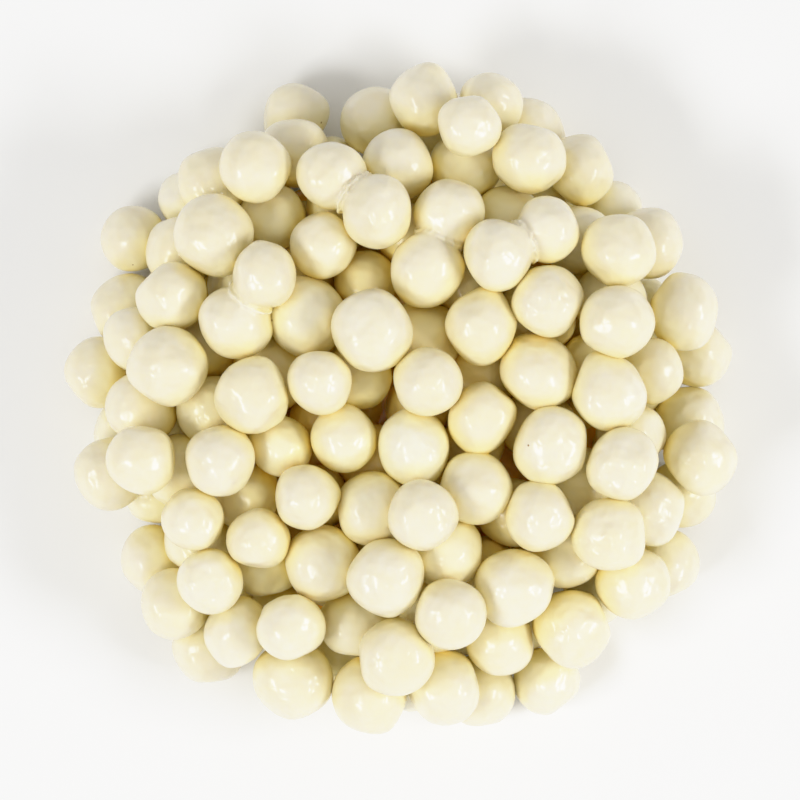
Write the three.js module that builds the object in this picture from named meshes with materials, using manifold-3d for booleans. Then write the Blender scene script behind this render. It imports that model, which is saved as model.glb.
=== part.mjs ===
// A low heap of sugar pearl sprinkles: cream-white, slightly uneven candy balls that lie as poured.
// Units are millimetres, +Z is up, the heap rests on z = 0 and the origin is under its middle.

import * as THREE from 'three';
import { mergeVertices } from 'three/addons/utils/BufferGeometryUtils.js';
import Module from 'manifold-3d';

const wasm = await Module();
wasm.setup();

// One pearl
const PEARL_RADIUS = 2.5;
const SIZE_SPREAD = 0.1; // radii vary by this share of the mean, up to one and a half times
const STRETCH = 0.07; // each axis of a pearl is longer or shorter by up to this share

// Faceted pearls: a rounder one for the top, a plainer one for below, each a little wider than
// the true pearl, so that it fills the same space and meets its neighbours
const TOP_FACETS = { shape: new THREE.IcosahedronGeometry(1, 1), width: 1.04 };
const LOW_FACETS = { shape: new THREE.OctahedronGeometry(1, 1), width: 1.1 };
const ROUND_LEVEL = 11; // pearls with their centre above this get the rounder shape
const TOP_LEVEL = 9; // pearls with their centre above this show from above

// The bed that the pearls are poured into
const BED_RADIUS = 29.5;
const BED_PEARLS = 520;
const SEED = 14;

// The heap that is left of the bed
const HEAP_REACH = 22.2; // how far from the axis a pearl's centre may lie
const HEAP_HEIGHT = 15.6;
const BED_LEVEL = 15.2; // the bed is cut off here before the last pearls are dropped on it
const RIM_HEIGHT = 6.4;
const SHOULDER = 4; // the larger, the further the level top reaches out before it falls to the rim
const LAST_DROPS = 1100;
const FLAT_DEPTH = 0.14; // how far the lowest pearls are worn flat where they rest

// The core that the pearls are fused to
const CORE_RADIUS = 20;
const CORE_COVER = 6.6; // depth of the core's skin under the top of the heap
const CORE_LIFT = 1.9; // clearance between the core and the table
const CORE_STEPS = 5;
const CORE_SIDES = 24;

// How a pearl rolls down to its place, and how the bed is pressed together
const FIRST_STEP = 1.2;
const LAST_STEP = 0.02;
const LEAST_DROP = 1e-9;
const BED_PRESS = { rounds: 120, pull: 0.01, sink: 0.06 };
const HEAP_PRESS = { rounds: 12, pull: 0.002, sink: 0.03 };

// Where two pearls have grown together, as seen from above
const TWIN_PLACES = [[-2.5, 16.1], [3.4, 14.0], [7.9, 17.0], [-10.3, 8.9]];
const TWIN_OVERLAP = 0.17; // share of the two radii by which twins sink into each other

const DIAGONAL = Math.sqrt(0.5);
const COMPASS = [
  [1, 0], [DIAGONAL, DIAGONAL], [0, 1], [-DIAGONAL, DIAGONAL],
  [-1, 0], [-DIAGONAL, -DIAGONAL], [0, -1], [DIAGONAL, -DIAGONAL],
];

// A seeded draw: each call gives the next number between 0 and 1
function makeDraw(seed) {
  const modulus = 2147483647;
  const multiplier = 48271;
  let state = seed;
  return () => {
    state = (state * multiplier) % modulus;
    return state / modulus;
  };
}

// Height of a pearl's centre when it is lowered at x, y onto the floor or the pearls below it
function restHeight(pearls, x, y, r) {
  let height = r;
  for (const pearl of pearls) {
    const dx = x - pearl.x;
    const dy = y - pearl.y;
    const reach = r + pearl.r;
    const gap = reach * reach - dx * dx - dy * dy;
    if (gap > 0) height = Math.max(height, pearl.z + Math.sqrt(gap));
  }
  return height;
}

function insideBed(x, y, r) {
  return x * x + y * y <= (BED_RADIUS - r) * (BED_RADIUS - r);
}

// Drops a pearl at a random place, and lets it roll downhill until it lies in a hollow
function dropPearl(pearls, draw) {
  const r = PEARL_RADIUS * (1 + SIZE_SPREAD * (draw() + draw() + draw() - 1.5));
  let x = BED_RADIUS;
  let y = BED_RADIUS;
  while (!insideBed(x, y, r)) {
    x = (2 * draw() - 1) * BED_RADIUS;
    y = (2 * draw() - 1) * BED_RADIUS;
  }
  let place = { x, y, z: restHeight(pearls, x, y, r) };
  let step = FIRST_STEP;
  while (step > LAST_STEP) {
    let lowest = place;
    for (const [stepX, stepY] of COMPASS) {
      const nextX = place.x + stepX * step;
      const nextY = place.y + stepY * step;
      if (!insideBed(nextX, nextY, r)) continue;
      const nextZ = restHeight(pearls, nextX, nextY, r);
      if (nextZ < lowest.z - LEAST_DROP) lowest = { x: nextX, y: nextY, z: nextZ };
    }
    if (lowest === place) step /= 2;
    place = lowest;
  }
  return { ...place, r };
}

// Moves two pearls that run into each other apart, each by half of the overlap
function pushApart(a, b) {
  const reach = a.r + b.r;
  const dx = b.x - a.x;
  const dy = b.y - a.y;
  const dz = b.z - a.z;
  const square = dx * dx + dy * dy + dz * dz;
  if (square >= reach * reach) return;
  const distance = Math.sqrt(square);
  const push = (0.5 * (reach - distance)) / distance;
  a.x -= dx * push;
  a.y -= dy * push;
  a.z -= dz * push;
  b.x += dx * push;
  b.y += dy * push;
  b.z += dz * push;
}

// Draws the pearls towards the axis and the floor, a little less each round, and parts those that meet
function press(pearls, { rounds, pull, sink }) {
  for (let round = 0; round < rounds; round += 1) {
    const ease = 1 - round / rounds;
    for (const pearl of pearls) {
      pearl.x -= pearl.x * pull * ease;
      pearl.y -= pearl.y * pull * ease;
      pearl.z = Math.max(pearl.r, pearl.z - sink * ease);
    }
    for (let i = 0; i < pearls.length; i += 1) {
      for (let j = i + 1; j < pearls.length; j += 1) pushApart(pearls[i], pearls[j]);
    }
    for (const pearl of pearls) pearl.z = Math.max(pearl.r, pearl.z);
  }
}

// Height of the heap's skin over x, y when its middle has the given height
function skinHeight(x, y, height) {
  const out = (x * x + y * y) / (HEAP_REACH * HEAP_REACH);
  return RIM_HEIGHT + (height - RIM_HEIGHT) * (1 - out ** SHOULDER);
}

function insideHeap(pearl, height) {
  const near = pearl.x * pearl.x + pearl.y * pearl.y < HEAP_REACH * HEAP_REACH;
  return near && pearl.z + pearl.r < skinHeight(pearl.x, pearl.y, height);
}

// The two touching pearls near the top whose meeting point lies nearest to x, y
function nearestPair(pearls, x, y) {
  const shown = pearls.filter((pearl) => pearl.z > TOP_LEVEL && !pearl.twin);
  let nearest = { square: Infinity };
  shown.forEach((a, index) => {
    for (const b of shown.slice(index + 1)) {
      const gap = Math.hypot(a.x - b.x, a.y - b.y, a.z - b.z) - a.r - b.r;
      if (gap > 0.1 * PEARL_RADIUS) continue;
      const offX = (a.x + b.x) / 2 - x;
      const offY = (a.y + b.y) / 2 - y;
      const square = offX * offX + offY * offY + (a.z - b.z) * (a.z - b.z);
      if (square < nearest.square) nearest = { a, b, square };
    }
  });
  return nearest;
}

// Sinks two neighbours into each other at each place where the real pearls have grown together
function joinTwins(pearls) {
  for (const [x, y] of TWIN_PLACES) {
    const { a, b } = nearestPair(pearls, x, y);
    a.twin = b;
    b.twin = a;
    const distance = Math.hypot(a.x - b.x, a.y - b.y, a.z - b.z);
    const share = (distance - (1 - TWIN_OVERLAP) * (a.r + b.r)) / distance / 2;
    for (const axis of ['x', 'y', 'z']) {
      const way = b[axis] - a[axis];
      a[axis] += way * share;
      b[axis] -= way * share;
    }
  }
}

// Gives a pearl its three stretched axes and its turn
function shapePearl(pearl, draw) {
  pearl.stretch = [0, 1, 2].map(() => 1 + STRETCH * (2 * draw() - 1));
  let turn = [1, 1, 1, 1];
  while (turn.reduce((sum, value) => sum + value * value, 0) > 1) {
    turn = [0, 1, 2, 3].map(() => 2 * draw() - 1);
  }
  pearl.turn = new THREE.Quaternion(...turn).normalize();
}

function centre(pearls) {
  for (const axis of ['x', 'y']) {
    const low = Math.min(...pearls.map((pearl) => pearl[axis] - pearl.r));
    const high = Math.max(...pearls.map((pearl) => pearl[axis] + pearl.r));
    for (const pearl of pearls) pearl[axis] -= (low + high) / 2;
  }
}

// Pours the bed, presses it, keeps the heap, fills its hollows and lets it settle
function pourHeap() {
  const draw = makeDraw(SEED);
  const bed = [];
  while (bed.length < BED_PEARLS) bed.push(dropPearl(bed, draw));
  press(bed, BED_PRESS);
  const heap = bed.filter((pearl) => insideHeap(pearl, BED_LEVEL));
  for (let drop = 0; drop < LAST_DROPS; drop += 1) {
    const pearl = dropPearl(heap, draw);
    if (insideHeap(pearl, HEAP_HEIGHT)) heap.push(pearl);
  }
  press(heap, HEAP_PRESS);
  joinTwins(heap);
  centre(heap);
  for (const pearl of heap) shapePearl(pearl, draw);
  return heap;
}

// Turns a closed three.js geometry into a solid that can be joined and cut
function toSolid(geometry) {
  geometry.deleteAttribute('normal');
  geometry.deleteAttribute('uv');
  const merged = mergeVertices(geometry);
  const vertProperties = new Float32Array(merged.attributes.position.array);
  const triVerts = new Uint32Array(merged.index.array);
  return new wasm.Manifold(new wasm.Mesh({ numProp: 3, vertProperties, triVerts }));
}

function toGeometry(solid) {
  const mesh = solid.getMesh();
  const geometry = new THREE.BufferGeometry();
  geometry.setAttribute('position', new THREE.BufferAttribute(mesh.vertProperties, 3));
  geometry.setIndex(new THREE.BufferAttribute(mesh.triVerts, 1));
  geometry.computeVertexNormals();
  return geometry;
}

function pearlSolid(pearl) {
  const place = new THREE.Vector3(pearl.x, pearl.y, pearl.z - FLAT_DEPTH);
  const facets = pearl.z > ROUND_LEVEL ? TOP_FACETS : LOW_FACETS;
  const size = new THREE.Vector3(...pearl.stretch).multiplyScalar(pearl.r * facets.width);
  const matrix = new THREE.Matrix4().compose(place, pearl.turn, size);
  return toSolid(facets.shape.clone().applyMatrix4(matrix));
}

// The heap's inside, one lathe-turned body under the skin of pearls
function coreSolid() {
  const profile = [new THREE.Vector2(0, CORE_LIFT), new THREE.Vector2(CORE_RADIUS, CORE_LIFT)];
  for (let step = 0; step < CORE_STEPS; step += 1) {
    const radius = CORE_RADIUS * Math.cos((step / CORE_STEPS) * (Math.PI / 2));
    profile.push(new THREE.Vector2(radius, skinHeight(radius, 0, HEAP_HEIGHT) - CORE_COVER));
  }
  profile.push(new THREE.Vector2(0, HEAP_HEIGHT - CORE_COVER));
  const lathe = new THREE.LatheGeometry(profile, CORE_SIDES);
  return toSolid(lathe.rotateX(Math.PI / 2));
}

// A block over the table, which trims whatever would reach below it
function overTable() {
  const width = 4 * BED_RADIUS;
  return toSolid(new THREE.BoxGeometry(width, width, width).translate(0, 0, width / 2));
}

// Joins all pearls to the core, and keeps the outer body without hidden hollows or loose scraps
function heapSolid(pearls) {
  let heap = coreSolid();
  for (const pearl of pearls) heap = heap.add(pearlSolid(pearl));
  const pieces = heap.intersect(overTable()).decompose();
  return pieces.reduce((largest, piece) => (piece.volume() > largest.volume() ? piece : largest));
}

function pearlHeap() {
  const candy = new THREE.MeshStandardMaterial({ color: '#efe8c6', roughness: 0.35, metalness: 0 });
  const heap = new THREE.Mesh(toGeometry(heapSolid(pourHeap())), candy);
  heap.name = 'pearl_heap';
  return heap;
}

const sprinkles = new THREE.Group();
sprinkles.add(pearlHeap());

export default sprinkles;
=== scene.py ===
# A low heap of sugar pearl sprinkles: waxed, cream-white candy balls, slightly uneven, a few of them
# dented and a few grown together in pairs. The heap is poured by the same seeded rule as its solid.

import math

import bmesh
import bpy
import numpy as np
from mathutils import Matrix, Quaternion, Vector


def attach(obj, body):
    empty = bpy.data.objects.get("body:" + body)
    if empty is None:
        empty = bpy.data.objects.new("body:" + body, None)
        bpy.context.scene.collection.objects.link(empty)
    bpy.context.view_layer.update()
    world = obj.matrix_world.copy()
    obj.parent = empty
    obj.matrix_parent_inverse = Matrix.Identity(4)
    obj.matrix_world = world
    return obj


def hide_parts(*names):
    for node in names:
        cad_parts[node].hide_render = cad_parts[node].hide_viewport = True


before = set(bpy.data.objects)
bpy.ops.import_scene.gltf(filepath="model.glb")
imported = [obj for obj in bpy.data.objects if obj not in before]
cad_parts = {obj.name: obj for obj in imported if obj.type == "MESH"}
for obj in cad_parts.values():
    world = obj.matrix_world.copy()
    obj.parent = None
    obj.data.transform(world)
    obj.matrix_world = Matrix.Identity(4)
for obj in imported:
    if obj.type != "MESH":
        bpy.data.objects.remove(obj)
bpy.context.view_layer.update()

MM = 0.001

# One pearl: its radius in millimetres, and how far size and axes vary, as shares of it
PEARL_RADIUS = 2.5
SIZE_SPREAD = 0.1
STRETCH = 0.07

# The bed that the pearls are poured into, and the heap that is left of it; lengths are in millimetres
SEED = 14
BED_RADIUS = 29.5
BED_PEARLS = 520
HEAP_REACH = 22.2
HEAP_HEIGHT = 15.6
BED_LEVEL = 15.2
RIM_HEIGHT = 6.4
SHOULDER = 4  # the power that rounds the heap's top off towards its rim
LAST_DROPS = 1100
TABLE_FLAT = 0.14  # how far the heap is lowered, so that its lowest pearls rest on flats

# How a pearl rolls down to its place, and how the bed is pressed together
FIRST_STEP = 1.2
LAST_STEP = 0.02
LEAST_DROP = 1e-9  # a smaller gain in height doesn't count, so rounding can't send a pearl in circles
BED_PRESS = {"rounds": 120, "pull": 0.01, "sink": 0.06}
HEAP_PRESS = {"rounds": 12, "pull": 0.002, "sink": 0.03}
ROUND_MARGIN = 1.5  # pearls further apart than this can't meet within one round of pressing

# Where two pearls have grown together, as seen from above, in millimetres
TWIN_PLACES = [(-2.5, 16.1), (3.4, 14.0), (7.9, 17.0), (-10.3, 8.9)]
TWIN_GAP = 0.25  # pearls closer than this count as neighbours
TWIN_OVERLAP = 0.17  # share of the two radii

# The centres of the top pearls lie above this, in millimetres
TOP_LEVEL = 9

# Where the photograph shows dented pearls, in millimetres
DENTED_PLACES = [(-13.7, -0.7), (-16.4, -12.3), (14.0, -12.3), (14.0, -6.2), (10.3, 9.2), (12.9, -17.3)]

# Where it shows two-lobed ones, in millimetres
LUMPY_PLACES = [(13.0, -1.4), (-6.6, -1.4), (2.6, 20.9), (-9.5, 2.2), (4.6, 5.1)]

# A pearl counts as this much nearer for each millimetre that it lies higher, because it hides lower ones
HEIGHT_BONUS = 0.5

# How a pearl is modelled; lengths are in pearl radii
FORM_SEED = 5
PLAIN_FORMS = 12
PLAIN_FINENESS = 4
DENTED_FINENESS = 5
FLATS = 7  # on each pearl
FLAT_SPREAD = math.radians(45)
FLAT_DEPTHS = (0.05, 0.13)
FLAT_REACH = (0.7, 0.95)
KNOBS = 2
KNOB_HEIGHTS = (0.02, 0.07)
KNOB_REACH = (0.35, 0.6)
LOBE_HEIGHT = 0.22
LOBE_REACH = 0.85
WAVE_SIZE = 0.4
WAVE_HEIGHT = 0.02

# The hammered patch of a dented pearl; lengths are in pearl radii
PITS = 40
PATCH_ANGLE = math.radians(55)
PIT_DEPTHS = (0.008, 0.022)
PIT_REACH = (0.12, 0.24)

# Pearls that have grown together; the lip's lengths are in radii of the seam
TWIN_VOXEL = 0.11  # millimetres
LIP_SIDES = 64
LIP_RINGS = (0.8, 1.05, 1.3)
LIP_FRAY = 0.2
LIP_THICKNESS = 0.18

# Pearls further away than this, in millimetres, add no painted shade to a pearl
SHADE_REACH = 14

# The inside of the heap, in millimetres
CORE_WIDTH = 34
CORE_HEIGHT = 4.6
CORE_LIFT = 0.6
CORE_WAVES = 1.2

# What the candy reads on the core, which takes the deepest painted shade; each pearl has its own
CORE_VALUES = {"tint": 1, "shut_in_shade": 1, "sunk_shade": 1, "hammered": 0}

# The candy's surface, in millimetres
RIPPLE_WIDTH = 1.3
RIPPLE_RISE = 0.25
BULGE_WIDTH = 1.1
BULGE_RISE = 0.32
CLOUD_WIDTH = 1.6
SPECK_WIDTH = 0.15

# The bulges' strength outside a hammered patch, how fast they fade towards the edge of a pearl, and the
# share of them that hold a speck
COMMON_BULGES = (0.2, 0.5)
EDGE_FADE = 1.2
SPECK_SHARE = 0.01

# The candy's colours by a pearl's tint and in faint clouds, and its painted shade by how low a pearl lies
# and towards neighbours
TINTS = [(0, "#f6f1df"), (0.05, "#f6edd5"), (0.5, "#f5ebd0"), (1, "#f5eacb")]
CLOUDS = [(0.35, "#fffdf4"), (0.65, "#ffffff")]
# Painted shade on pearls that lie low: how much of it, and its colour
PAINTED_LOW_SHADE_SHARES = [(0.55, "#000000"), (0.7, "#ffffff")]
PAINTED_LOW_SHADE = [(0.62, "#f6eed0"), (0.68, "#f8eec9"), (0.74, "#f9edbe"), (0.8, "#fce8ac"), (0.85, "#ffdc80")]
# Painted shade towards the neighbours, by how shut in each point is
PAINTED_RIM_SHADE = [
    (0.25, "#ffffff"), (0.47, "#fffeee"), (0.7, "#fffddf"),
    (0.8, "#fff6b6"), (0.88, "#ffe882"), (0.95, "#ffd048"),
]
SPECK_BROWN = "#a07c48"

# The light: ways seen from the heap, sizes in metres and power in watts
ROOM_LIGHT = 0.45
LAMP_DISTANCE = 0.5
LEFT_LAMP = {"way": (-0.68, -0.35, 0.75), "size": (0.22, 0.1), "power": 1.15}
RIGHT_LAMP = {"way": (0.85, -0.18, 0.62), "size": (0.24, 0.1), "power": 1.25}

FLOOR_WIDTH = 1.2  # metres
FLOOR_WHITE = "#fcfcfb"

# The camera, in millimetres
SENSOR_WIDTH = 36
VIEW_DISTANCE = 420
VIEW_WIDTH = 54.8
VIEW_LEVEL = 13

# The picture's tones: a gamma, the brightest light that it holds, and the tone of each brightness
VIEW_GAMMA = 1.2
BRIGHTEST = 1.6
SHOULDER_TONES = [(0.4, 0.4), (0.75, 0.75), (0.9, 0.865), (1.0, 0.91), (1.2, 0.965), (BRIGHTEST, 0.995)]

UPWARD = Vector((-0.2, -0.2, 1)).normalized()  # where the dented pearls show their pits
DIAGONAL = math.sqrt(0.5)
COMPASS = [
    (1, 0), (DIAGONAL, DIAGONAL), (0, 1), (-DIAGONAL, DIAGONAL),
    (-1, 0), (-DIAGONAL, -DIAGONAL), (0, -1), (DIAGONAL, -DIAGONAL),
]
X, Y, Z, R = range(4)  # the columns of a table of pearls


def make_draw(seed):
    """A seeded draw: each call gives the next number between 0 and 1."""
    modulus = 2147483647
    multiplier = 48271
    state = seed

    def draw():
        nonlocal state
        state = state * multiplier % modulus
        return state / modulus

    return draw


def rest_height(pearls, x, y, r):
    """Height of a pearl's centre when it is lowered at x, y onto the floor or the pearls below it."""
    dx = x - pearls[:, X]
    dy = y - pearls[:, Y]
    reach = r + pearls[:, R]
    gap = reach * reach - dx * dx - dy * dy
    below = gap > 0
    if not below.any():
        return r
    return max(r, float((pearls[below, Z] + np.sqrt(gap[below])).max()))


def inside_bed(x, y, r):
    return x * x + y * y <= (BED_RADIUS - r) * (BED_RADIUS - r)


def drop_pearl(pearls, draw):
    """Drops a pearl at a random place, and lets it roll downhill until it lies in a hollow."""
    r = PEARL_RADIUS * (1 + SIZE_SPREAD * (draw() + draw() + draw() - 1.5))
    x, y = BED_RADIUS, BED_RADIUS
    while not inside_bed(x, y, r):
        x = (2 * draw() - 1) * BED_RADIUS
        y = (2 * draw() - 1) * BED_RADIUS
    place = (x, y, rest_height(pearls, x, y, r))
    step = FIRST_STEP
    while step > LAST_STEP:
        lowest = place
        for step_x, step_y in COMPASS:
            next_x = place[X] + step_x * step
            next_y = place[Y] + step_y * step
            if not inside_bed(next_x, next_y, r):
                continue
            next_z = rest_height(pearls, next_x, next_y, r)
            if next_z < lowest[Z] - LEAST_DROP:
                lowest = (next_x, next_y, next_z)
        if lowest == place:
            step /= 2
        place = lowest
    return [*place, r]


def close_pairs(pearls):
    """The pairs of pearls that may meet within one round, by their rows."""
    away = pearls[:, None, :R] - pearls[None, :, :R]
    reach = pearls[:, None, R] + pearls[None, :, R] + ROUND_MARGIN
    close = (away * away).sum(axis=2) < reach * reach
    return np.argwhere(np.triu(close, 1)).tolist()


def push_apart(a, b):
    """Moves two pearls that run into each other apart, each by half of the overlap."""
    reach = a[R] + b[R]
    dx = b[X] - a[X]
    dy = b[Y] - a[Y]
    dz = b[Z] - a[Z]
    square = dx * dx + dy * dy + dz * dz
    if square >= reach * reach:
        return
    distance = math.sqrt(square)
    push = 0.5 * (reach - distance) / distance
    for axis, way in ((X, dx), (Y, dy), (Z, dz)):
        a[axis] -= way * push
        b[axis] += way * push


def press(pearls, rounds, pull, sink):
    """Draws the pearls inwards and down, a little less each round, and parts those that meet."""
    for turn in range(rounds):
        ease = 1 - turn / rounds
        pearls[:, :Z] -= pearls[:, :Z] * pull * ease
        pearls[:, Z] = np.maximum(pearls[:, R], pearls[:, Z] - sink * ease)
        rows = pearls.tolist()
        for first, second in close_pairs(pearls):
            push_apart(rows[first], rows[second])
        pearls = np.array(rows)
        pearls[:, Z] = np.maximum(pearls[:, R], pearls[:, Z])
    return pearls


def inside_heap(pearl, height):
    """Whether a pearl lies under the heap's skin, when the heap's middle has the given height."""
    square = pearl[X] * pearl[X] + pearl[Y] * pearl[Y]
    out = square / (HEAP_REACH * HEAP_REACH)
    skin = RIM_HEIGHT + (height - RIM_HEIGHT) * (1 - out ** SHOULDER)
    return square < HEAP_REACH * HEAP_REACH and pearl[Z] + pearl[R] < skin


def nearest_pair(pearls, taken, x, y):
    """The two touching pearls near the top whose meeting point lies nearest to x, y."""
    shown = [row for row in range(len(pearls)) if pearls[row, Z] > TOP_LEVEL and row not in taken]
    nearest = (math.inf, None)
    for index, first in enumerate(shown):
        for second in shown[index + 1:]:
            a, b = pearls[first], pearls[second]
            gap = math.dist(a[:R], b[:R]) - a[R] - b[R]
            if gap > TWIN_GAP:
                continue
            off_x = (a[X] + b[X]) / 2 - x
            off_y = (a[Y] + b[Y]) / 2 - y
            square = off_x * off_x + off_y * off_y + (a[Z] - b[Z]) * (a[Z] - b[Z])
            nearest = min(nearest, (square, (first, second)))
    return nearest[1]


def join_twins(pearls):
    """Sinks two neighbours into each other at each place where the real pearls have grown together."""
    twins = []
    for x, y in TWIN_PLACES:
        taken = [row for pair in twins for row in pair]
        first, second = nearest_pair(pearls, taken, x, y)
        a, b = pearls[first, :R].copy(), pearls[second, :R].copy()
        distance = math.dist(a, b)
        reach = pearls[first, R] + pearls[second, R]
        share = (distance - (1 - TWIN_OVERLAP) * reach) / distance / 2
        pearls[first, :R] += (b - a) * share
        pearls[second, :R] -= (b - a) * share
        twins.append((first, second))
    return twins


def pour_heap():
    """Pours the bed, presses it, keeps the heap, fills its hollows and lets it settle."""
    draw = make_draw(SEED)
    bed = np.empty((0, 4))
    while len(bed) < BED_PEARLS:
        bed = np.vstack([bed, drop_pearl(bed, draw)])
    bed = press(bed, **BED_PRESS)
    heap = bed[[inside_heap(pearl, BED_LEVEL) for pearl in bed]]
    for _ in range(LAST_DROPS):
        pearl = drop_pearl(heap, draw)
        if inside_heap(pearl, HEAP_HEIGHT):
            heap = np.vstack([heap, pearl])
    heap = press(heap, **HEAP_PRESS)
    twins = join_twins(heap)
    for axis in (X, Y):
        low = (heap[:, axis] - heap[:, R]).min()
        high = (heap[:, axis] + heap[:, R]).max()
        heap[:, axis] -= (low + high) / 2
    shapes = [draw_shape(draw) for _ in heap]
    return heap, shapes, twins


def draw_shape(draw):
    """A pearl's three stretched axes and its turn."""
    stretch = [1 + STRETCH * (2 * draw() - 1) for _ in range(3)]
    turn = [1, 1, 1, 1]
    while sum(value * value for value in turn) > 1:
        turn = [2 * draw() - 1 for _ in range(4)]
    x, y, z, w = turn
    return np.array(stretch), Quaternion((w, x, y, z)).normalized()


def between(limits, share):
    low, high = limits
    return low + (high - low) * share


def random_way(draw):
    """A direction drawn evenly from all round."""
    way = Vector((0, 0, 0))
    while not 0.1 < way.length < 1:
        way = Vector((2 * draw() - 1, 2 * draw() - 1, 2 * draw() - 1))
    return way.normalized()


def deselect():
    bpy.ops.object.select_all(action="DESELECT")


def press_spot(ball, way, depth, reach):
    """Presses a ball of unit radius in around one spot, or draws it out where the depth is below zero."""
    mesh = bmesh.from_edit_mesh(ball.data)
    spot = min(mesh.verts, key=lambda vertex: (vertex.co.normalized() - way).length)
    for vertex in mesh.verts:
        vertex.select_set(vertex == spot)
    mesh.select_flush_mode()
    bmesh.update_edit_mesh(ball.data)
    bpy.ops.transform.translate(
        value=-way * depth,
        use_proportional_edit=True,
        proportional_edit_falloff="SMOOTH",
        proportional_size=reach,
    )


def apply_modifier(piece, kind, **settings):
    modifier = piece.modifiers.new(kind.title(), kind)
    for name, value in settings.items():
        setattr(modifier, name, value)
    bpy.ops.object.modifier_apply(modifier=modifier.name)


def model_pebble(draw, fineness, lobed=False):
    """Models one pearl: a ball pressed into soft flats and drawn out to blunt knobs, or to a lobe."""
    deselect()
    bpy.ops.mesh.primitive_ico_sphere_add(subdivisions=fineness, radius=1)
    pebble = bpy.context.object
    bpy.ops.object.mode_set(mode="EDIT")
    ways = []
    while len(ways) < FLATS:
        way = random_way(draw)
        if all(way.angle(other) > FLAT_SPREAD for other in ways):
            ways.append(way)
            press_spot(pebble, way, between(FLAT_DEPTHS, draw()), between(FLAT_REACH, draw()))
    for _ in range(KNOBS):
        press_spot(pebble, random_way(draw), -between(KNOB_HEIGHTS, draw()), between(KNOB_REACH, draw()))
    if lobed:
        press_spot(pebble, random_way(draw), -LOBE_HEIGHT, LOBE_REACH)
    bpy.ops.object.mode_set(mode="OBJECT")
    waves = bpy.data.textures.new("coating_waves", "CLOUDS")
    waves.noise_scale = WAVE_SIZE
    apply_modifier(pebble, "DISPLACE", texture=waves, strength=WAVE_HEIGHT, mid_level=0.5)
    return pebble


def hammer_patch(pebble, draw, middle):
    """Hammers shallow pits into a pearl, all within a patch round one direction."""
    bpy.ops.object.mode_set(mode="EDIT")
    done = 0
    while done < PITS:
        way = random_way(draw)
        if way.angle(middle) < PATCH_ANGLE:
            press_spot(pebble, way, between(PIT_DEPTHS, draw()), between(PIT_REACH, draw()))
            done += 1
    bpy.ops.object.mode_set(mode="OBJECT")


def read_mesh(piece):
    """Gives back a piece's vertices and faces, and removes the piece."""
    mesh = piece.data
    points = np.empty(len(mesh.vertices) * 3)
    mesh.vertices.foreach_get("co", points)
    faces = np.array([tuple(face.vertices) for face in mesh.polygons])
    bpy.data.objects.remove(piece)
    return points.reshape(-1, 3), faces


def read_form(pebble):
    """A modelled pearl's vertices, brought to a mean radius of one, and its faces."""
    points, faces = read_mesh(pebble)
    points -= points.mean(axis=0)
    points /= np.linalg.norm(points, axis=1).mean()
    return points, faces


def dented_form(draw, turn):
    """A form whose hammered patch shows from above once the pearl has its turn."""
    pebble = model_pebble(draw, DENTED_FINENESS)
    hammer_patch(pebble, draw, turn.inverted() @ UPWARD)
    return read_form(pebble)


def place_form(form, pearl, shape):
    """A form stretched, turned and moved to a pearl's place, and flat where it meets the table."""
    points, faces = form
    stretch, turn = shape
    turned = (points * stretch * pearl[R]) @ np.array(turn.to_matrix()).T
    placed = turned + pearl[:R] - (0, 0, TABLE_FLAT)
    placed[:, Z] = np.maximum(placed[:, Z], 0)
    return placed, faces


def outward_ways(points, pearl):
    """The directions from a pearl's centre to its points."""
    outward = points - pearl[:R]
    return outward / np.linalg.norm(outward, axis=1, keepdims=True)


def shut_in_shade(points, pearl, others):
    """How far other pearls close off each point of one pearl, which sets its painted shade: 0 in the open
    and 1 deep in the heap.
    """
    outward = outward_ways(points, pearl)
    near = others[np.linalg.norm(others[:, :R] - pearl[:R], axis=1) < SHADE_REACH]
    towards = near[None, :, :R] - points[:, None]
    distance = np.linalg.norm(towards, axis=2)
    facing = np.maximum(0, (towards * outward[:, None]).sum(axis=2) / distance)
    return 1 - np.exp(-(facing * (near[:, R] / distance) ** 2).sum(axis=1))


def hammered(points, pearl, way, common, strength):
    """How strongly each point of a pearl is hammered: a little all over, and most in one patch."""
    edge = math.cos(PATCH_ANGLE)
    inside = (outward_ways(points, pearl) @ np.array(way) - edge) / (1 - edge)
    return common + (strength - common) * np.clip(2 * inside, 0, 1)


def keep_values(piece, name, values):
    """Keeps a number for each vertex of a piece, which its material reads by name."""
    kept = piece.data.attributes.new(name, "FLOAT", "POINT")
    kept.data.foreach_set("value", values)


def join_copies(name, copies):
    """One mesh of many copies, in metres."""
    lengths = [len(points) for points, _ in copies]
    starts = np.cumsum([0, *lengths])
    points = np.concatenate([points for points, _ in copies]) * MM
    faces = np.concatenate([faces + start for (_, faces), start in zip(copies, starts)])
    mesh = bpy.data.meshes.new(name)
    mesh.vertices.add(len(points))
    mesh.vertices.foreach_set("co", points.ravel())
    mesh.loops.add(faces.size)
    mesh.loops.foreach_set("vertex_index", faces.ravel())
    mesh.polygons.add(len(faces))
    mesh.polygons.foreach_set("loop_start", np.arange(0, faces.size, faces.shape[1]))
    mesh.update(calc_edges=True)
    mesh.shade_smooth()
    piece = bpy.data.objects.new(name, mesh)
    bpy.context.scene.collection.objects.link(piece)
    return piece


def finish_piece(piece, material):
    piece.data.materials.clear()
    piece.data.materials.append(material)
    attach(piece, "root")
    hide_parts("pearl_heap")


def nearest_rows(heap, places, taken):
    """For each place in the photograph the row of the pearl seen there, each row once."""
    rows = []
    for x, y in places:
        away = np.hypot(heap[:, X] - x, heap[:, Y] - y) - HEIGHT_BONUS * heap[:, Z]
        away[[*taken, *rows]] = math.inf
        rows.append(int(away.argmin()))
    return rows


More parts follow.
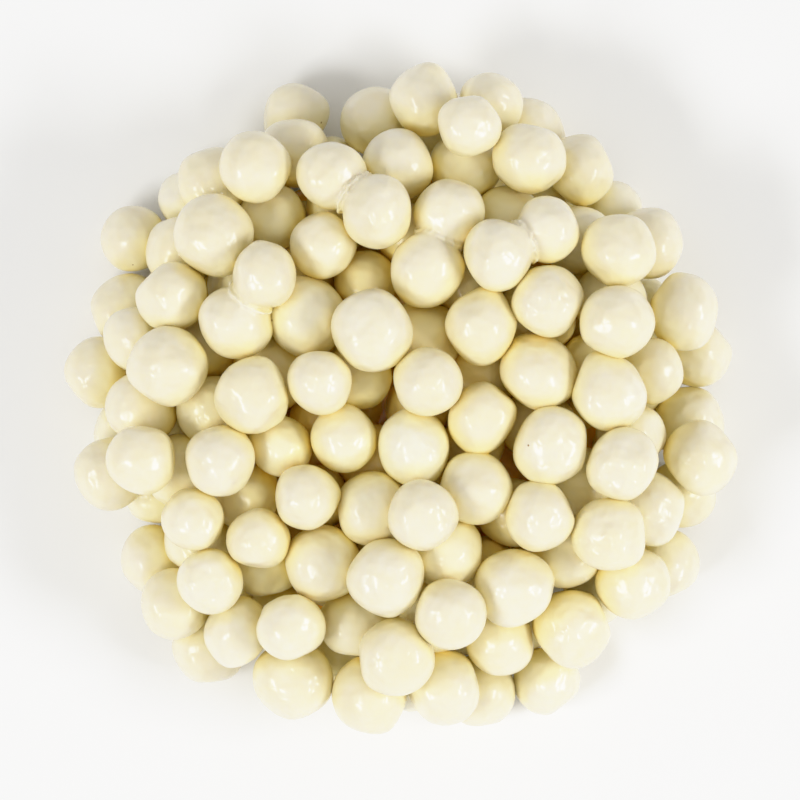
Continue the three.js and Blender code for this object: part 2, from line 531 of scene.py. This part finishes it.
def model_lip(seed):
    """Models the torn lip of a seam: a thin frayed collar whose seam has unit radius."""
    deselect()
    bpy.ops.mesh.primitive_circle_add(vertices=LIP_SIDES, radius=LIP_RINGS[0])
    lip = bpy.context.object
    bpy.ops.object.mode_set(mode="EDIT")
    bpy.ops.mesh.select_all(action="SELECT")
    for inner, outer in zip(LIP_RINGS, LIP_RINGS[1:]):
        bpy.ops.mesh.extrude_edges_move()
        bpy.ops.transform.resize(value=(outer / inner, outer / inner, 1))
    bpy.ops.transform.vertex_random(offset=LIP_FRAY, seed=seed)
    bpy.ops.object.mode_set(mode="OBJECT")
    apply_modifier(lip, "SOLIDIFY", thickness=LIP_THICKNESS, offset=0)
    apply_modifier(lip, "SUBSURF", levels=1, render_levels=1)
    apply_modifier(lip, "TRIANGULATE")
    return lip


def place_lip(first, second, seed):
    """A torn lip in the seam between two pearls, in millimetres."""
    points, faces = read_mesh(model_lip(seed))
    along = Vector(second[:R] - first[:R])
    reach = (along.length_squared + first[R] ** 2 - second[R] ** 2) / (2 * along.length)
    radius = math.sqrt(first[R] ** 2 - reach ** 2)
    turn = Vector((0, 0, 1)).rotation_difference(along).to_matrix()
    middle = first[:R] + np.array(along.normalized()) * reach - (0, 0, TABLE_FLAT)
    return points * radius @ np.array(turn).T + middle, faces


def model_twins(forms, heap, pair, draw):
    """Models two pearls that have grown together: fused all round, with a torn lip in the seam."""
    copies = [place_form(forms[int(draw() * PLAIN_FORMS)], heap[row], shape) for row, shape in pair]
    rows = [row for row, _ in pair]
    copies.append(place_lip(heap[rows[0]], heap[rows[1]], rows[0]))
    deselect()
    twins = join_copies("twins", copies)
    bpy.context.view_layer.objects.active = twins
    apply_modifier(twins, "REMESH", mode="VOXEL", voxel_size=TWIN_VOXEL * MM)
    apply_modifier(twins, "SMOOTH", factor=0.5, iterations=1)
    points, faces = read_mesh(twins)
    return points / MM, faces


def plain_values(points, heap, row, rows, draw, dented=False):
    """What the candy reads at each point of one pearl; rows are its own and that of its twin, if any."""
    closed = shut_in_shade(points, heap[row], np.delete(heap, rows, axis=0))
    upper = points[:, Z] > heap[row, Z]
    way = random_way(draw)
    strength = 1 if dented else draw()
    if dented:
        way = UPWARD
    # The shut-in and sunk values set painted shade: towards neighbours, and all over a pearl that lies low
    return {
        "tint": np.full(len(points), draw()),
        "shut_in_shade": closed,
        "sunk_shade": np.full(len(points), closed[upper].mean()),
        "hammered": hammered(points, heap[row], way, between(COMMON_BULGES, draw()), strength),
    }


def twin_values(points, heap, rows, draw):
    """What the candy reads at each point of a grown-together pair: the value of the nearer pearl."""
    first, second = heap[rows[0]], heap[rows[1]]
    nearer = np.linalg.norm(points - first[:R], axis=1) / first[R]
    nearer = nearer < np.linalg.norm(points - second[:R], axis=1) / second[R]
    values = plain_values(points, heap, rows[0], rows, draw)
    others = plain_values(points, heap, rows[1], rows, draw)
    return {name: np.where(nearer, values[name], others[name]) for name in values}


def build_pearls(heap, shapes, twins, candy):
    """Makes the pearls of the heap, one piece for each kind."""
    draw = make_draw(FORM_SEED)
    plain = [read_form(model_pebble(draw, PLAIN_FINENESS)) for _ in range(PLAIN_FORMS)]
    twinned = [row for pair in twins for row in pair]
    dented = nearest_rows(heap, DENTED_PLACES, twinned)
    lumpy = nearest_rows(heap, LUMPY_PLACES, [*twinned, *dented])
    kinds = {"top_pearls": [], "lower_pearls": [], "dented_pearls": [], "twin_pearls": []}
    for row, (pearl, shape) in enumerate(zip(heap, shapes)):
        if row in twinned:
            continue
        kind = "top_pearls" if pearl[Z] > TOP_LEVEL else "lower_pearls"
        form = plain[int(draw() * PLAIN_FORMS)]
        if row in lumpy:
            form = read_form(model_pebble(draw, PLAIN_FINENESS, lobed=True))
        if row in dented:
            kind = "dented_pearls"
            form = dented_form(draw, shape[1])
        points, faces = place_form(form, pearl, shape)
        kinds[kind].append((points, faces, plain_values(points, heap, row, [row], draw, row in dented)))
    for rows in twins:
        pair = [(row, shapes[row]) for row in rows]
        points, faces = model_twins(plain, heap, pair, draw)
        kinds["twin_pearls"].append((points, faces, twin_values(points, heap, list(rows), draw)))
    for kind, copies in kinds.items():
        piece = join_copies(kind, [copy[:2] for copy in copies])
        for name in CORE_VALUES:
            keep_values(piece, name, np.concatenate([values[name] for _, _, values in copies]))
        finish_piece(piece, candy)


def build_core(candy):
    """Models the inside of the heap, which closes the view between the pearls."""
    deselect()
    bpy.ops.mesh.primitive_uv_sphere_add(segments=48, ring_count=24, radius=1)
    core = bpy.context.object
    core.name = "heap_core"
    bpy.ops.object.mode_set(mode="EDIT")
    bpy.ops.mesh.select_all(action="SELECT")
    bpy.ops.transform.resize(value=(CORE_WIDTH / 2 * MM, CORE_WIDTH / 2 * MM, CORE_HEIGHT / 2 * MM))
    bpy.ops.transform.translate(value=(0, 0, (CORE_HEIGHT / 2 + CORE_LIFT) * MM))
    bpy.ops.object.mode_set(mode="OBJECT")
    lumps = bpy.data.textures.new("core_lumps", "CLOUDS")
    lumps.noise_scale = PEARL_RADIUS * MM
    apply_modifier(core, "DISPLACE", texture=lumps, strength=CORE_WAVES * MM, mid_level=1)
    core.data.shade_smooth()
    # The core takes the deepest painted shade
    for name, value in CORE_VALUES.items():
        keep_values(core, name, [value] * len(core.data.vertices))
    finish_piece(core, candy)


def linear(code):
    """An sRGB hex colour as linear red, green, blue and alpha."""
    values = [int(code[place:place + 2], 16) / 255 for place in (1, 3, 5)]
    return [v / 12.92 if v <= 0.04045 else ((v + 0.055) / 1.055) ** 2.4 for v in values] + [1]


def set_stops(ramp, stops):
    """Gives a ramp its colours; the stops are pairs of place and hex colour."""
    while len(ramp.elements) < len(stops):
        ramp.elements.new(1)
    for element, (place, code) in zip(ramp.elements, stops):
        element.position = place
        element.color = linear(code)


def add_node(material, kind, inputs=None, stops=None, **settings):
    """Adds a node; its inputs are plain values or outputs of other nodes, by socket name or number."""
    tree = material.node_tree
    node = tree.nodes.new(kind)
    for name, value in settings.items():
        setattr(node, name, value)
    for socket, value in (inputs or {}).items():
        if isinstance(value, bpy.types.NodeSocket):
            tree.links.new(value, node.inputs[socket])
        else:
            node.inputs[socket].default_value = value
    if stops:
        set_stops(node.color_ramp, stops)
    return node


def new_material(name):
    material = bpy.data.materials.new(name)
    material.use_nodes = True
    material.node_tree.nodes.clear()
    return material


def cream_body(material, place):
    """Cream, a little different from pearl to pearl, with faint clouds."""
    tint = add_node(material, "ShaderNodeAttribute", attribute_name="tint")
    body = add_node(material, "ShaderNodeValToRGB", {"Fac": tint.outputs["Fac"]}, TINTS)
    inputs = {"Vector": place, "Scale": 1 / (CLOUD_WIDTH * MM), "Detail": 2}
    noise = add_node(material, "ShaderNodeTexNoise", inputs)
    clouds = add_node(material, "ShaderNodeValToRGB", {"Fac": noise.outputs["Fac"]}, CLOUDS)
    inputs = {"Factor": 1, "A": body.outputs["Color"], "B": clouds.outputs["Color"]}
    clouded = add_node(material, "ShaderNodeMix", inputs, data_type="RGBA", blend_type="MULTIPLY")
    return clouded.outputs["Result"]


def paint_low_shade(material, colour):
    """Painted shade: deeper yellow all over the pearls that lie low, where others shade them."""
    sunk_shade = add_node(material, "ShaderNodeAttribute", attribute_name="sunk_shade")
    share = add_node(material, "ShaderNodeValToRGB", {"Fac": sunk_shade.outputs["Fac"]}, PAINTED_LOW_SHADE_SHARES)
    tone = add_node(material, "ShaderNodeValToRGB", {"Fac": sunk_shade.outputs["Fac"]}, PAINTED_LOW_SHADE)
    inputs = {"Factor": share.outputs["Color"], "A": colour, "B": tone.outputs["Color"]}
    deepened = add_node(material, "ShaderNodeMix", inputs, data_type="RGBA", blend_type="MIX")
    return deepened.outputs["Result"]


def paint_rim_shade(material, colour):
    """Painted shade: deeper yellow towards the neighbours of each pearl, where they close it off."""
    shut_in_shade = add_node(material, "ShaderNodeAttribute", attribute_name="shut_in_shade")
    tone = add_node(material, "ShaderNodeValToRGB", {"Fac": shut_in_shade.outputs["Fac"]}, PAINTED_RIM_SHADE)
    inputs = {"Factor": 1, "A": colour, "B": tone.outputs["Color"]}
    deepened = add_node(material, "ShaderNodeMix", inputs, data_type="RGBA", blend_type="MULTIPLY")
    return deepened.outputs["Result"]


def add_specks(material, colour, cells):
    """Rare brown specks, each in the middle of a cell that is marked by chance."""
    chances = add_node(material, "ShaderNodeSeparateColor", {"Color": cells.outputs["Color"]})
    inputs = {0: chances.outputs["Red"], 1: 1 - SPECK_SHARE}
    marked = add_node(material, "ShaderNodeMath", inputs, operation="GREATER_THAN")
    inputs = {0: cells.outputs["Distance"], 1: SPECK_WIDTH / 2 / BULGE_WIDTH}
    middle = add_node(material, "ShaderNodeMath", inputs, operation="LESS_THAN")
    inputs = {0: marked.outputs["Value"], 1: middle.outputs["Value"]}
    speck = add_node(material, "ShaderNodeMath", inputs, operation="MULTIPLY")
    inputs = {"Factor": speck.outputs["Value"], "A": colour, "B": linear(SPECK_BROWN)}
    specked = add_node(material, "ShaderNodeMix", inputs, data_type="RGBA", blend_type="MIX")
    return specked.outputs["Result"]


def candy_height(material, place):
    """Height of the candy in millimetres: soft ripples from the panning drum."""
    inputs = {"Vector": place, "Scale": 1 / (RIPPLE_WIDTH * MM), "Detail": 1}
    noise = add_node(material, "ShaderNodeTexNoise", inputs)
    inputs = {0: noise.outputs["Fac"], 1: RIPPLE_RISE}
    return add_node(material, "ShaderNodeMath", inputs, operation="MULTIPLY").outputs["Value"]


def coat_height(material, candy, cells):
    """Height of the wax coat in millimetres: the candy's, with low bulges where it is hammered."""
    inputs = {0: cells.outputs["Distance"], 1: cells.outputs["Distance"]}
    fall = add_node(material, "ShaderNodeMath", inputs, operation="MULTIPLY")
    strength = add_node(material, "ShaderNodeAttribute", attribute_name="hammered")
    inputs = {0: fall.outputs["Value"], 1: strength.outputs["Fac"]}
    hammered_fall = add_node(material, "ShaderNodeMath", inputs, operation="MULTIPLY")
    inputs = {0: hammered_fall.outputs["Value"], 1: -BULGE_RISE, 2: candy}
    return add_node(material, "ShaderNodeMath", inputs, operation="MULTIPLY_ADD").outputs["Value"]


def coat_strength(material):
    """Fades the bulges where the gloss is seen edge-on, because there they would only draw thin lines."""
    edge = add_node(material, "ShaderNodeLayerWeight", {"Blend": 0.5})
    inputs = {0: edge.outputs["Facing"], 1: -EDGE_FADE, 2: 1}
    return add_node(material, "ShaderNodeMath", inputs, operation="MULTIPLY_ADD").outputs["Value"]


def candy_material():
    """Waxed sugar candy: cream and slightly translucent, with painted shade deeper yellow between pearls and
    on low ones, its gloss broken into glints by a bulging coat.
    """
    material = new_material("waxed_sugar_candy")
    place = add_node(material, "ShaderNodeTexCoord").outputs["Object"]
    inputs = {"Vector": place, "Scale": 1 / (BULGE_WIDTH * MM)}
    cells = add_node(material, "ShaderNodeTexVoronoi", inputs)
    colour = cream_body(material, place)
    # Painted shade: deeper yellow on pearls that lie low, and towards neighbours
    colour = paint_low_shade(material, colour)
    colour = paint_rim_shade(material, colour)
    colour = add_specks(material, colour, cells)
    candy = candy_height(material, place)
    candy_bump = add_node(material, "ShaderNodeBump", {"Height": candy, "Distance": MM})
    coat = coat_height(material, candy, cells)
    inputs = {"Height": coat, "Distance": MM, "Strength": coat_strength(material)}
    coat_bump = add_node(material, "ShaderNodeBump", inputs)
    inputs = {
        "Base Color": colour,
        "Normal": candy_bump.outputs["Normal"],
        "Coat Normal": coat_bump.outputs["Normal"],
        "Roughness": 0.4,
        "IOR": 1.5,
        "Subsurface Weight": 0.3,
        "Subsurface Radius": (1.0, 0.9, 0.55),
        "Subsurface Scale": 0.7 * MM,
        "Specular IOR Level": 0.2,
        "Coat Weight": 0.7,
        "Coat Roughness": 0.23,
    }
    skin = add_node(material, "ShaderNodeBsdfPrincipled", inputs)
    add_node(material, "ShaderNodeOutputMaterial", {"Surface": skin.outputs["BSDF"]})
    return material


def build_floor():
    """A wide board of matt white card, which gives soft shadows and no reflection."""
    deselect()
    bpy.ops.mesh.primitive_plane_add(size=FLOOR_WIDTH)
    floor = bpy.context.object
    floor.name = "floor"
    material = new_material("matt_white_board")
    inputs = {"Base Color": linear(FLOOR_WHITE), "Roughness": 0.9}
    skin = add_node(material, "ShaderNodeBsdfPrincipled", inputs)
    add_node(material, "ShaderNodeOutputMaterial", {"Surface": skin.outputs["BSDF"]})
    floor.data.materials.append(material)


def add_softbox(name, way, size, power):
    """An oblong lamp that faces the heap from a direction."""
    lamp = bpy.data.lights.new(name, "AREA")
    lamp.shape = "RECTANGLE"
    lamp.size, lamp.size_y = size
    lamp.energy = power
    light = bpy.data.objects.new(name, lamp)
    bpy.context.scene.collection.objects.link(light)
    back = Vector(way).normalized()
    light.location = back * LAMP_DISTANCE
    light.rotation_euler = back.to_track_quat("Z", "Y").to_euler()


def build_light():
    """Soft studio light: white all round, with an oblong lamp on either side, a little towards the front."""
    world = bpy.data.worlds.new("studio")
    world.use_nodes = True
    world.node_tree.nodes["Background"].inputs["Color"].default_value = (1, 1, 1, 1)
    world.node_tree.nodes["Background"].inputs["Strength"].default_value = ROOM_LIGHT
    bpy.context.scene.world = world
    add_softbox("left_softbox", **LEFT_LAMP)
    add_softbox("right_softbox", **RIGHT_LAMP)


def build_camera():
    """Looks straight down, as the photograph does; its 800 pixels span 54.8 mm at the top pearls."""
    camera = bpy.data.cameras.new("camera")
    camera.sensor_width = SENSOR_WIDTH
    camera.lens = SENSOR_WIDTH * VIEW_DISTANCE / VIEW_WIDTH
    camera.clip_start = 0.01
    eye = bpy.data.objects.new("camera", camera)
    bpy.context.scene.collection.objects.link(eye)
    eye.location = (0, 0, (VIEW_DISTANCE + VIEW_LEVEL) * MM)
    bpy.context.scene.camera = eye


def set_tones():
    """Plain colours, with the shadows lifted a little and the brightest tones rolled off softly."""
    view = bpy.context.scene.view_settings
    view.view_transform = "Standard"
    view.gamma = VIEW_GAMMA
    view.use_curve_mapping = True
    view.curve_mapping.white_level = (BRIGHTEST, BRIGHTEST, BRIGHTEST)
    tones = view.curve_mapping.curves[3].points
    tones[-1].location = (1, SHOULDER_TONES[-1][1])
    for light, picture in SHOULDER_TONES[:-1]:
        tones.new(light / BRIGHTEST, picture)
    view.curve_mapping.update()


heap, shapes, twins = pour_heap()
candy = candy_material()
build_pearls(heap, shapes, twins, candy)
build_core(candy)
build_floor()
build_light()
build_camera()
set_tones()
